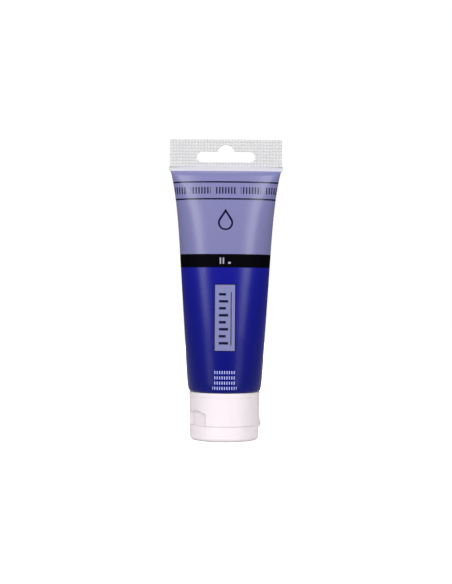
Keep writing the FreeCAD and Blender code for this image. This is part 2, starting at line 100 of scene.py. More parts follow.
def add_node(tree: bpy.types.NodeTree, kind: str, settings: Optional[dict] = None,
             inputs: Optional[dict] = None) -> bpy.types.Node:
    """Add a node with its settings, values and links.

    Args:
        tree: the node tree.
        kind: the node's type name.
        settings: attribute names and values.
        inputs: socket names or numbers, each with a value or an output socket to link.

    Returns:
        The new node.
    """
    node = tree.nodes.new(kind)
    for name, value in (settings or {}).items():
        setattr(node, name, value)
    for key, value in (inputs or {}).items():
        socket = node.inputs[key]
        if isinstance(value, bpy.types.NodeSocket):
            tree.links.new(value, socket)
        else:
            socket.default_value = value
    return node


def deselect() -> None:
    """Clear the selection, leaving object mode if need be."""
    if bpy.context.object and bpy.context.object.mode != "OBJECT":
        bpy.ops.object.mode_set(mode="OBJECT")
    bpy.ops.object.select_all(action="DESELECT")


def activate(obj: bpy.types.Object) -> None:
    """Make one object the only selected and active one.

    Args:
        obj: the object.
    """
    deselect()
    obj.select_set(True)
    bpy.context.view_layer.objects.active = obj


def apply_place(obj: bpy.types.Object) -> None:
    """Put an object's place into its mesh."""
    activate(obj)
    bpy.ops.object.transform_apply(location=True, rotation=True, scale=True)


def apply_modifier(obj: bpy.types.Object, kind: str, settings: dict) -> None:
    """Add a modifier with its settings and apply it.

    Args:
        obj: the object.
        kind: the modifier's type.
        settings: attribute names and values.
    """
    activate(obj)
    modifier = obj.modifiers.new(kind.title(), kind)
    for name, value in settings.items():
        setattr(modifier, name, value)
    bpy.ops.object.modifier_apply(modifier=modifier.name)


def tidy_normals(obj: bpy.types.Object) -> None:
    """Merge doubles and point every face outwards.

    Args:
        obj: the object.
    """
    activate(obj)
    bpy.ops.object.mode_set(mode="EDIT")
    bpy.ops.mesh.select_all(action="SELECT")
    bpy.ops.mesh.remove_doubles(threshold=1e-6)
    bpy.ops.mesh.normals_make_consistent(inside=False)
    bpy.ops.object.mode_set(mode="OBJECT")


def smooth_by_angle(obj: bpy.types.Object, degrees: float) -> None:
    """Shade smooth, with edges sharper than an angle left sharp."""
    activate(obj)
    bpy.ops.object.shade_smooth_by_angle(angle=math.radians(degrees))


def set_materials(obj: bpy.types.Object, materials: Sequence[bpy.types.Material]) -> None:
    """Give an object its material slots.

    Args:
        obj: the object.
        materials: one for each slot.
    """
    obj.data.materials.clear()
    for material in materials:
        obj.data.materials.append(material)


def smooth_table(rows: Sequence[tuple[float, float]], at: float) -> float:
    """Read a table at a height, with a smooth curve through its rows.

    Args:
        rows: (height, value) in rising height.
        at: the height.

    Returns:
        The value there.
    """
    if at <= rows[0][0]:
        return rows[0][1]
    if at >= rows[-1][0]:
        return rows[-1][1]
    index = max(i for i, row in enumerate(rows) if row[0] <= at)
    (z0, low), (z1, high) = rows[index], rows[index + 1]

    def slope(i: int) -> float:
        """Slope at a row, from its neighbours."""
        before, after = rows[max(i - 1, 0)], rows[min(i + 1, len(rows) - 1)]
        return (after[1] - before[1]) / (after[0] - before[0])

    m0, m1 = slope(index) * (z1 - z0), slope(index + 1) * (z1 - z0)
    t = (at - z0) / (z1 - z0)
    return ((2 * t ** 3 - 3 * t ** 2 + 1) * low + (t ** 3 - 2 * t ** 2 + t) * m0
            + (-2 * t ** 3 + 3 * t ** 2) * high + (t ** 3 - t ** 2) * m1)


def ellipse_girth(a: float, b: float) -> float:
    """Girth of an ellipse of half axes a and b."""
    h = ((a - b) / (a + b)) ** 2
    return math.pi * (a + b) * (1 + 3 * h / (10 + math.sqrt(4 - 3 * h)))


def depth_for_girth(a: float, girth: float) -> float:
    """Half depth that gives an oval of half width a this girth.

    Args:
        a: half width.
        girth: the sleeve's girth, which can't stretch.

    Returns:
        The half depth.
    """
    low, high = 1e-4, a
    for _ in range(50):
        middle = (low + high) / 2
        low, high = (middle, high) if ellipse_girth(a, middle) < girth else (low, middle)
    return (low + high) / 2


# ------------------------------------------------------------------- masks
@dataclass
class Masks:
    """Builds black-and-white masks for the print; u and v are sockets in metres."""

    tree: bpy.types.NodeTree
    u: bpy.types.NodeSocket
    v: bpy.types.NodeSocket
    drop_steepness: float = 1.55  # rise over run of a drop's two straight sides

    def math(self, operation: str, a: object, b: object = 0.0) -> bpy.types.NodeSocket:
        """One math node's result."""
        node = add_node(self.tree, "ShaderNodeMath", {"operation": operation}, {0: a, 1: b})
        return node.outputs[0]

    def between(self, value: bpy.types.NodeSocket, low: float,
                high: float) -> bpy.types.NodeSocket:
        """1 where the value lies between two limits.

        Args:
            value: the socket that is tested.
            low: the lower limit, in metres.
            high: the upper limit, in metres.

        Returns:
            The mask.
        """
        middle, half = (low + high) / 2, (high - low) / 2
        gap = self.math("ABSOLUTE", self.math("SUBTRACT", value, middle))
        return self.math("LESS_THAN", gap, half)

    def band(self, low: float, high: float) -> bpy.types.NodeSocket:
        """1 between two heights, in mm."""
        return self.between(self.v, low * MM, high * MM)

    def box(self, left: float, right: float, low: float,
            high: float) -> bpy.types.NodeSocket:
        """1 inside a box, in mm."""
        across = self.between(self.u, left * MM, right * MM)
        return self.math("MULTIPLY", across, self.band(low, high))

    def disc(self, x: float, z: float, radius: float) -> bpy.types.NodeSocket:
        """1 inside a circle.

        Args:
            x: the middle's place round the girth, in mm.
            z: the middle's height, in mm.
            radius: the circle's radius, in mm.

        Returns:
            The mask.
        """
        dx = self.math("SUBTRACT", self.u, x * MM)
        dz = self.math("SUBTRACT", self.v, z * MM)
        square = self.math("ADD", self.math("MULTIPLY", dx, dx), self.math("MULTIPLY", dz, dz))
        return self.math("LESS_THAN", square, (radius * MM) ** 2)

    def tear(self, x: float, z: float, radius: float) -> bpy.types.NodeSocket:
        """1 inside a drop: a circle, with two straight sides that meet in a corner on top.

        Args:
            x: the circle's place round the girth, in mm.
            z: the circle's height, in mm.
            radius: the circle's radius, in mm.

        Returns:
            The mask.
        """
        # the sides touch the circle where its own slope is theirs
        full_radius = radius * MM
        slant = math.hypot(1.0, self.drop_steepness)
        touch_up, touch_out = full_radius / slant, full_radius * self.drop_steepness / slant
        dx = self.math("ABSOLUTE", self.math("SUBTRACT", self.u, x * MM))
        dz = self.math("SUBTRACT", self.v, z * MM)
        slope = self.math("ADD", self.math("MULTIPLY", dx, self.drop_steepness), dz)
        tip = self.math("LESS_THAN", slope, full_radius * slant)
        roof = self.math("MULTIPLY", tip, self.math("GREATER_THAN", dz, touch_up))
        belly = self.math("LESS_THAN", dz, touch_up)
        full = self.math("MULTIPLY", belly, self.disc(x, z, radius))
        wide = self.math("LESS_THAN", dx, touch_out)
        return self.math("MAXIMUM", full, self.math("MULTIPLY", roof, wide))

    def drop(self, x: float, z: float, radius: float, line: float) -> bpy.types.NodeSocket:
        """1 on the outline of a drop of this line width, in mm; a little heavier on top."""
        inner = self.tear(x, z - 0.1 * line, radius - line)
        return self.math("SUBTRACT", self.tear(x, z, radius), inner)

    def dashes(self, low: float, high: float, pitch: float, length: float,
               reach: float) -> bpy.types.NodeSocket:
        """A row of short strokes with one in the middle; sizes in mm.

        Args:
            low: the strokes' foot.
            high: the strokes' top.
            pitch: from one stroke to the next.
            length: each stroke's size round the girth.
            reach: how far the row goes on each side of the middle.

        Returns:
            The mask.
        """
        # whole pitches are added first, because the remainder of a negative number is negative
        shift = 200 * pitch + length / 2
        step = self.math("MODULO", self.math("ADD", self.u, shift * MM), pitch * MM)
        stroke = self.math("LESS_THAN", step, length * MM)
        row = self.math("MULTIPLY", stroke, self.band(low, high))
        return self.math("MULTIPLY", row, self.between(self.u, -reach * MM, reach * MM))

    def either(self, parts: Iterable[bpy.types.NodeSocket]) -> bpy.types.NodeSocket:
        """1 where any of the masks is.

        Args:
            parts: the masks, at least one.

        Returns:
            The joined mask.
        """
        parts = list(parts)
        out = parts[0]
        for part in parts[1:]:
            out = self.math("MAXIMUM", out, part)
        return out

    def lay(self, under: bpy.types.NodeSocket, colour: Sequence[float],
            mask: bpy.types.NodeSocket) -> bpy.types.NodeSocket:
        """A colour laid over another where the mask is 1."""
        node = add_node(self.tree, "ShaderNodeMix", {"data_type": "RGBA"},
                        {0: mask, 6: under, 7: colour})
        return node.outputs[2]


# ---------------------------------------------------------------- finishes
@dataclass(frozen=True)
class MouldedPlastic:
    """Injection-moulded polypropylene: fine spark-eroded grain, faint cloudiness."""

    name: str = "moulded polypropylene, white"
    colour: str = "FDF2F7"
    shade: str = "FAEEF3"
    roughness: float = 0.42
    ior: float = 1.49
    cloud_mm: float = 9.0
    grain_mm: float = 0.35  # spark grain is about 0.05 mm; drawn coarser so that it shows
    bump_mm: float = 0.004
    subsurface: float = 0.15
    bleed: tuple[float, float, float] = (1.0, 0.92, 0.88)
    bleed_mm: float = 0.8

    def make(self) -> bpy.types.Material:
        """Build the material.

        Returns:
            The material.
        """
        material, tree = start_material(self.name)
        place = add_node(tree, "ShaderNodeTexCoord").outputs["Object"]
        cloud = add_node(tree, "ShaderNodeTexNoise", {}, {
            "Vector": place, "Scale": 1 / (self.cloud_mm * MM), "Detail": 3.0})
        grain = add_node(tree, "ShaderNodeTexNoise", {}, {
            "Vector": place, "Scale": 1 / (self.grain_mm * MM), "Detail": 4.0})
        colour = add_node(tree, "ShaderNodeMix", {"data_type": "RGBA"}, {
            0: cloud.outputs["Fac"], 6: linear(self.colour), 7: linear(self.shade)})
        rough = add_node(tree, "ShaderNodeMapRange", {}, {
            "Value": grain.outputs["Fac"], "To Min": self.roughness - 0.05,
            "To Max": self.roughness + 0.06})
        bump = add_node(tree, "ShaderNodeBump", {}, {
            "Height": grain.outputs["Fac"], "Distance": self.bump_mm * MM, "Strength": 0.6})
        shader = add_node(tree, "ShaderNodeBsdfPrincipled", {}, {
            "Base Color": colour.outputs[2], "Roughness": rough.outputs[0],
            "Normal": bump.outputs[0], "IOR": self.ior,
            "Subsurface Weight": self.subsurface, "Subsurface Radius": self.bleed,
            "Subsurface Scale": self.bleed_mm * MM})
        add_node(tree, "ShaderNodeOutputMaterial", {}, {"Surface": shader.outputs[0]})
        return material


@dataclass(frozen=True)
class HeadPlastic(MouldedPlastic):
    """Injection-moulded high-density polyethylene: a cooler white, a little shinier."""

    name: str = "moulded high-density polyethylene, white"
    colour: str = "F1EFF2"
    shade: str = "ECEAEE"
    roughness: float = 0.36


@dataclass(frozen=True)
class AcrylicPaint(MouldedPlastic):
    """Wet acrylic paint: ultramarine pigment in a glossy binder, with slow streaks."""

    name: str = "acrylic paint, ultramarine"
    colour: str = "10176C"
    shade: str = "141B74"
    roughness: float = 0.2
    grain_mm: float = 1.5
    bump_mm: float = 0.02
    subsurface: float = 0.0


@dataclass(frozen=True)
class FoamGasket(MouldedPlastic):
    """Closed-cell polyethylene foam punched from sheet: matt, with cells that show."""

    name: str = "closed-cell polyethylene foam"
    colour: str = "E6E7E9"
    shade: str = "D6D8DB"
    roughness: float = 0.8
    grain_mm: float = 0.5
    bump_mm: float = 0.05


@dataclass(frozen=True)
class WeldedFilm:
    """Unprinted natural polyethylene, welded flat: milky, with painted shade in the grooves of
    its crimp.
    """

    name: str = "natural polyethylene, crimped"
    raised: str = "F1F0EF"
    # painted shade: the darker colour of the grooves
    groove: str = "CECECF"
    roughness: float = 0.38
    ior: float = 1.51
    relief_mm: float = 0.10
    half_mm: float = 0.45
    cloud_mm: float = 4.0
    blotch: float = 0.08
    subsurface: float = 0.15
    bleed: tuple[float, float, float] = (1.0, 0.97, 0.95)
    bleed_mm: float = 0.5

    def make(self) -> bpy.types.Material:
        """Build the material; the grooves get a darker colour, which is painted shade.

        Returns:
            The material.
        """
        material, tree = start_material(self.name)
        place = add_node(tree, "ShaderNodeTexCoord").outputs["Object"]
        split = add_node(tree, "ShaderNodeSeparateXYZ", {}, {0: place})
        off = add_node(tree, "ShaderNodeMath", {"operation": "ABSOLUTE"},
                       {0: split.outputs["Y"]})
        height = add_node(tree, "ShaderNodeMapRange", {}, {
            "Value": off.outputs[0], "From Min": self.half_mm * MM,
            "From Max": (self.half_mm + self.relief_mm) * MM})
        cloud = add_node(tree, "ShaderNodeTexNoise", {}, {
            "Vector": place, "Scale": 1 / (self.cloud_mm * MM), "Detail": 3.0})
        blotch = add_node(tree, "ShaderNodeMapRange", {}, {
            "Value": cloud.outputs["Fac"], "To Min": -self.blotch, "To Max": self.blotch})
        level = add_node(tree, "ShaderNodeMath", {"operation": "ADD", "use_clamp": True}, {
            0: height.outputs[0], 1: blotch.outputs[0]})
        # painted shade: away from the pads' face the film takes the darker groove colour; the
        # blotches vary at random
        colour = add_node(tree, "ShaderNodeMix", {"data_type": "RGBA"}, {
            0: level.outputs[0], 6: linear(self.groove), 7: linear(self.raised)})
        shader = add_node(tree, "ShaderNodeBsdfPrincipled", {}, {
            "Base Color": colour.outputs[2], "Roughness": self.roughness, "IOR": self.ior,
            "Subsurface Weight": self.subsurface, "Subsurface Radius": self.bleed,
            "Subsurface Scale": self.bleed_mm * MM})
        add_node(tree, "ShaderNodeOutputMaterial", {}, {"Surface": shader.outputs[0]})
        return material


@dataclass(frozen=True)
class PrintedSleeve:
    """Offset-printed polyethylene sleeve under a satin lacquer; sizes and heights in mm."""

    name: str = "printed polyethylene sleeve, satin lacquer"
    bare: str = "D2D1D8"
    lavender: str = "7C7CAA"
    line: str = "0E0E34"
    blue_top: str = "12148A"
    blue_low: str = "020A70"
    pale: str = "B4B9F0"
    box: str = "8385B2"
    roughness: float = 0.255
    roughness_spread: float = 0.02
    ior: float = 1.5
    specular: float = 0.27
    ripple_size: float = 14.0
    ripple_depth: float = 0.25
    peel_size: float = 0.8
    peel_depth: float = 0.002
    blue_from: float = 24.0
    print_top: float = 117.75
    above_all: float = 140.0
    lines: tuple[float, float] = (112.5, 105.0)
    line_width: float = 0.7
    stroke_half: float = 1.5
    stroke_pitch: float = 1.3
    stroke_length: float = 0.62
    group_half: float = 2.0
    group_pitch: float = 11.0
    group_length: float = 8.9
    all_round: float = 50.0
    drop_height: float = 94.6
    drop_radius: float = 3.3
    drop_line: float = 0.85
    box_heights: tuple[float, float] = (39.4, 67.7)
    box_half: float = 4.3
    box_frame: float = 0.35
    bar_count: int = 8
    bar_first: float = 42.6
    bar_pitch: float = 3.0
    bar_half: float = 0.55
    bar_left: float = -2.6
    bar_ends: tuple[float, float] = (1.4, 0.4)  # long and short bars in turn
    rule: tuple[float, float, float, float] = (2.45, 2.85, 41.6, 64.6)
    row_half: float = 0.65
    row_pitch: float = 1.05
    row_length: float = 0.45
    # height and half width of each pale row
    rows: tuple[tuple[float, float], ...] = ((30.1, 5.0), (27.8, 4.6), (25.6, 4.8),
                                             (23.35, 5.3))

    def make(self) -> bpy.types.Material:
        """Build the material from the sleeve's own map: u round the girth, v the height.

        Returns:
            The material.
        """
        material, tree = start_material(self.name)
        uv = add_node(tree, "ShaderNodeUVMap", {"uv_map": "girth"})
        split = add_node(tree, "ShaderNodeSeparateXYZ", {}, {0: uv.outputs[0]})
        masks = Masks(tree, split.outputs[0], split.outputs[1])
        place = add_node(tree, "ShaderNodeTexCoord").outputs["Object"]
        colour = self.ink_zones(masks)
        colour = self.dark_print(masks, colour)
        colour = self.blank_label(masks, colour)
        colour = self.pale_rows(masks, colour)

        # slow ripples of a soft wall, and the fine orange peel of the lacquer
        ripple = add_node(tree, "ShaderNodeTexNoise", {}, {
            "Vector": place, "Scale": 1 / (self.ripple_size * MM), "Detail": 1.0})
        peel = add_node(tree, "ShaderNodeTexNoise", {}, {
            "Vector": place, "Scale": 1 / (self.peel_size * MM), "Detail": 2.0})
        slow = add_node(tree, "ShaderNodeBump", {}, {
            "Height": ripple.outputs["Fac"], "Distance": self.ripple_depth * MM,
            "Strength": 0.5})
        bump = add_node(tree, "ShaderNodeBump", {}, {
            "Height": peel.outputs["Fac"], "Distance": self.peel_depth * MM, "Strength": 0.3,
            "Normal": slow.outputs[0]})
        rough = add_node(tree, "ShaderNodeMapRange", {}, {
            "Value": peel.outputs["Fac"], "To Min": self.roughness - self.roughness_spread,
            "To Max": self.roughness + self.roughness_spread})
        shader = add_node(tree, "ShaderNodeBsdfPrincipled", {}, {
            "Base Color": colour, "Roughness": rough.outputs[0], "Normal": bump.outputs[0],
            "IOR": self.ior, "Specular IOR Level": self.specular})
        add_node(tree, "ShaderNodeOutputMaterial", {}, {"Surface": shader.outputs[0]})
        return material

    def ink_zones(self, masks: Masks) -> bpy.types.NodeSocket:
        """The solid zones: a blue that deepens downwards, lavender over it, then bare.

        Args:
            masks: the print's masks.

        Returns:
            The colour.
        """
        band_foot, band_top = INK_BAND
        fade = add_node(masks.tree, "ShaderNodeMapRange", {}, {
            "Value": masks.v, "From Min": self.blue_from * MM, "From Max": band_foot * MM})
        blue = add_node(masks.tree, "ShaderNodeMix", {"data_type": "RGBA"}, {
            0: fade.outputs[0], 6: linear(self.blue_low), 7: linear(self.blue_top)})
        colour = masks.lay(blue.outputs[2], linear(self.lavender),
                           masks.band(band_top, self.print_top))
        return masks.lay(colour, linear(self.bare), masks.band(self.print_top, self.above_all))

    def dark_print(self, masks: Masks, colour: bpy.types.NodeSocket) -> bpy.types.NodeSocket:
        """Two lines all round, plain strokes in groups between them, and a plain drop below.

        Args:
            masks: the print's masks.
            colour: the ink under them.

        Returns:
            The colour with the dark print on it.
        """
        half = self.line_width / 2
        dark = [masks.band(z - half, z + half) for z in self.lines]
        middle = sum(self.lines) / 2
        strokes = masks.dashes(middle - self.stroke_half, middle + self.stroke_half,
                               self.stroke_pitch, self.stroke_length, self.all_round)
        groups = masks.dashes(middle - self.group_half, middle + self.group_half,
                              self.group_pitch, self.group_length, self.all_round)
        dark.append(masks.math("MULTIPLY", strokes, groups))
        dark.append(masks.drop(0.0, self.drop_height, self.drop_radius, self.drop_line))
        return masks.lay(colour, linear(self.line), masks.either(dark))

    def blank_label(self, masks: Masks,
                    colour: bpy.types.NodeSocket) -> bpy.types.NodeSocket:
        """The framed upright box, with a plain scale of bars in place of words.

        Args:
            masks: the print's masks.
            colour: the ink under the box.

        Returns:
            The colour with the box on it.
        """
        low, high = self.box_heights
        half, rim = self.box_half, self.box_frame
        colour = masks.lay(colour, linear(self.line),
                           masks.box(-half - rim, half + rim, low - rim, high + rim))
        colour = masks.lay(colour, linear(self.box), masks.box(-half, half, low, high))
        bars = []
        for count in range(self.bar_count):
            middle = self.bar_first + self.bar_pitch * count
            bars.append(masks.box(self.bar_left, self.bar_ends[count % 2],
                                  middle - self.bar_half, middle + self.bar_half))
        bars.append(masks.box(*self.rule))
        return masks.lay(colour, linear(self.line), masks.either(bars))

    def pale_rows(self, masks: Masks, colour: bpy.types.NodeSocket) -> bpy.types.NodeSocket:
        """The rows of short pale strokes near the cap.

        Args:
            masks: the print's masks.
            colour: the ink under them.

        Returns:
            The colour with the rows on it.
        """
        return masks.lay(colour, linear(self.pale), masks.either(
            masks.dashes(z - self.row_half, z + self.row_half, self.row_pitch,
                         self.row_length, reach) for z, reach in self.rows))


@dataclass(frozen=True)
class MattInk:
    """Overprinted matt black ink: no lacquer over it, so it hardly shines; fine ink mottle."""

    name: str = "matt black ink on polyethylene"
    colour: str = "000004"
    mottle: str = "040409"
    pale: str = "A4A4B4"
    roughness: float = 0.62
    roughness_spread: float = 0.05
    ior: float = 1.5
    specular: float = 0.03
    mottle_mm: float = 0.5
    # two short upright strokes and a low one, left bare of ink: left, right and top in mm,
    # the top from the band's middle
    strokes: tuple[tuple[float, float, float], ...] = (
        (-2.4, -1.8, 1.35), (-1.1, -0.5, 1.35), (1.2, 2.4, -0.5))
    stroke_foot: float = -1.35

    def make(self) -> bpy.types.Material:
        """Build the material.

        Returns:
            The material.
        """
        material, tree = start_material(self.name)
        place = add_node(tree, "ShaderNodeTexCoord").outputs["Object"]
        spots = add_node(tree, "ShaderNodeTexNoise", {}, {
            "Vector": place, "Scale": 1 / (self.mottle_mm * MM), "Detail": 3.0})
        colour = add_node(tree, "ShaderNodeMix", {"data_type": "RGBA"}, {
            0: spots.outputs["Fac"], 6: linear(self.colour), 7: linear(self.mottle)})
        uv = add_node(tree, "ShaderNodeUVMap", {"uv_map": "girth"})
        split = add_node(tree, "ShaderNodeSeparateXYZ", {}, {0: uv.outputs[0]})
        masks = Masks(tree, split.outputs[0], split.outputs[1])
        middle = sum(INK_BAND) / 2
        bare = masks.either(
            masks.box(left, right, middle + self.stroke_foot, middle + top)
            for left, right, top in self.strokes)
        ink = masks.lay(colour.outputs[2], linear(self.pale), bare)
        rough = add_node(tree, "ShaderNodeMapRange", {}, {
            "Value": spots.outputs["Fac"], "To Min": self.roughness - self.roughness_spread,
            "To Max": self.roughness + self.roughness_spread})
        shader = add_node(tree, "ShaderNodeBsdfPrincipled", {}, {
            "Base Color": ink, "Roughness": rough.outputs[0], "IOR": self.ior,
            "Specular IOR Level": self.specular})
        add_node(tree, "ShaderNodeOutputMaterial", {}, {"Surface": shader.outputs[0]})
        return material


# ------------------------------------------------------ cap, head and filling
@dataclass
class CapAndHead:
    """The moulded cap, the head, the gasket and the paint, whose own solids show."""

    cap: MouldedPlastic = MouldedPlastic()
    head: MouldedPlastic = HeadPlastic()
    gasket: MouldedPlastic = FoamGasket()
    paint: MouldedPlastic = AcrylicPaint()

    def dress(self) -> bpy.types.Material:
        """Give each solid its finish.

        Returns:
            The cap's plastic, which the hinge shares because it is the same moulding.
        """
        cap_white, head_white = self.cap.make(), self.head.make()
        for node, material in (("cap_base", cap_white), ("cap_lid", cap_white),
                               ("hinge_film", cap_white), ("tube_head", head_white),
                               ("seal_ring", self.gasket.make()),
                               ("paint_fill", self.paint.make())):
            set_materials(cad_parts[node], [material])
            LOG.info("%s: %s", node, material.name)
        return cap_white


# --------------------------------------------------------------- the sleeve
@dataclass
class Sleeve:
    """The squeezable sleeve: round over the cap, flat at the seal; sizes in mm."""

    around: int = 160
    girth: float = 2 * math.pi * 16.0
    # height and radius where the sleeve's end is turned in over the shoulder, then swells
    turned_in: tuple[tuple[float, float], ...] = (
        (22.4, 13.9), (21.45, 14.1), (21.2, 14.45), (21.15, 14.85), (21.22, 15.17),
        (21.42, 15.45), (21.75, 15.7), (22.3, 15.9), (23.1, 16.07), (24.2, 16.22))
    end_depth: float = 15.8
    # height and half width; the half depth follows from the girth
    widths: tuple[tuple[float, float], ...] = (
        (26.0, 16.42), (33.0, 16.93), (47.0, 17.76), (61.0, 18.65), (75.0, 19.55),
        (89.0, 20.43), (100.0, 21.4), (108.0, 22.4), (113.5, 23.35), (116.4, 23.95))
    ring_step: float = 1.5
    ring_count: int = 60
    band_clear: float = 0.4
    # the last stretch flattens into the weld, faster in depth than in width
    seal: float = 118.1
    seal_half: float = 25.0
    seal_depth: float = 0.5
    seal_shares: tuple[float, ...] = (0.0, 0.25, 0.5, 0.7, 0.85, 1.0)
    widening: float = 1.6
    flattening: float = 0.8
    welded: tuple[tuple[float, float, float], ...] = (
        (118.6, 25.12, 0.5), (119.5, 25.12, 0.5), (120.0, 24.7, 0.42))
    rings: list[tuple[float, float, float]] = field(default_factory=list)

    def plan(self) -> None:
        """List the rings from the shoulder up as (height, half width, half depth)."""
        self.rings = [(z, r, min(r, self.end_depth)) for z, r in self.turned_in]
        heights = [self.widths[0][0] + self.ring_step * k for k in range(self.ring_count)]
        heights = [z for z in heights if all(abs(z - edge) > self.band_clear
                                             for edge in INK_BAND)]
        for z in sorted(heights + list(INK_BAND)):
            a = smooth_table(self.widths, z)
            self.rings.append((z, a, depth_for_girth(a, self.girth)))
        z0, a0 = self.widths[-1]
        b0 = depth_for_girth(a0, self.girth)
        for share in self.seal_shares:
            self.rings.append((z0 + (self.seal - z0) * share,
                               a0 + (self.seal_half - a0) * share ** self.widening,
                               b0 + (self.seal_depth - b0) * share ** self.flattening))
        self.rings += self.welded

    def build(self) -> bpy.types.Object:
        """Extrude one ring after another and size each one.

        Returns:
            The closed sleeve.
        """
        self.plan()
        deselect()
        z, a, _ = self.rings[0]
        bpy.ops.mesh.primitive_circle_add(vertices=self.around, radius=a * MM,
                                          location=(0, 0, z * MM), fill_type="NGON")
        sleeve = bpy.context.object
        sleeve.name = "sleeve_skin"
        bpy.ops.object.mode_set(mode="EDIT")
        bpy.ops.mesh.select_all(action="SELECT")
        for (z0, a0, b0), (z1, a1, b1) in zip(self.rings, self.rings[1:]):
            bpy.ops.mesh.extrude_region_move(
                TRANSFORM_OT_translate={"value": (0, 0, (z1 - z0) * MM)})
            bpy.ops.transform.resize(value=(a1 / a0, b1 / b0, 1.0),
                                     center_override=(0, 0, z1 * MM))
        bpy.ops.object.mode_set(mode="OBJECT")
        apply_place(sleeve)
        self.close_foot(sleeve)
        tidy_normals(sleeve)
        self.map_girth(sleeve)
        smooth_by_angle(sleeve, 50)
        return sleeve

    def dress(self, sleeve: bpy.types.Object) -> None:
        """Print the sleeve, and give the faces of the dark band the second slot.

        Args:
            sleeve: the sleeve.
        """
        set_materials(sleeve, [PrintedSleeve().make(), MattInk().make()])
        low, high = INK_BAND
        for face in sleeve.data.polygons:
            if low * MM < face.center.z < high * MM:
                face.material_index = 1

    def close_foot(self, sleeve: bpy.types.Object) -> None:
        """Fill the ring under the shoulder if the extrusion left it open.

        Args:
            sleeve: the sleeve.
        """
        activate(sleeve)
        bpy.ops.object.mode_set(mode="EDIT")
        bpy.ops.mesh.select_all(action="DESELECT")
        bpy.ops.mesh.select_mode(type="EDGE")
        bpy.ops.mesh.select_non_manifold()
        shape = bmesh.from_edit_mesh(sleeve.data)
        if any(edge.select for edge in shape.edges):
            bpy.ops.mesh.edge_face_add()
        bpy.ops.mesh.select_mode(type="VERT")
        bpy.ops.object.mode_set(mode="OBJECT")

    def arc_lengths(self, a: float, b: float) -> list[float]:
        """Lengths along a ring's outline from +X, one for each of its corners.

        Args:
            a: half width.
            b: half depth.

        Returns:
            The lengths, from 0 to the whole outline.
        """
        lengths = [0.0]
        for k in range(self.around):
            t0 = 2 * math.pi * k / self.around
            t1 = 2 * math.pi * (k + 1) / self.around
            lengths.append(lengths[-1] + math.hypot(
                a * (math.cos(t1) - math.cos(t0)), b * (math.sin(t1) - math.sin(t0))))
        return lengths

    def map_girth(self, sleeve: bpy.types.Object) -> None:
        """Write the map: metres round the girth from the front's middle, and height.

        Args:
            sleeve: the sleeve.
        """
        sizes = {round(z, 4): (a, b, self.arc_lengths(a, b)) for z, a, b in self.rings}
        heights = sorted(sizes)
        step = 2 * math.pi / self.around
        mesh = sleeve.data
        place: list[tuple[float, float, float]] = []
        for vertex in mesh.vertices:
            x, y, z = (c / MM for c in vertex.co)
            a, b, lengths = sizes[min(heights, key=lambda height: abs(height - z))]
            position = math.atan2(y / b, x / a) % (2 * math.pi) / step
            k = int(position) % self.around
            along = lengths[k] + (lengths[k + 1] - lengths[k]) * (position - int(position))
            full = lengths[-1]
            u = along - 3 * full / 4  # the front's middle is three quarters round from +X
            if u < -full / 2:
                u += full
            place.append((u, z, full))
        layer = mesh.uv_layers.new(name="girth")
        for face in mesh.polygons:
            values = [place[mesh.loops[i].vertex_index] for i in face.loop_indices]
            across = [u for u, _, _ in values]
            wraps = max(across) - min(across) > values[0][2] / 2
            for i, (u, z, full) in zip(face.loop_indices, values):
                if wraps and u < 0:
                    u += full
                layer.data[i].uv = (u * MM, z * MM)


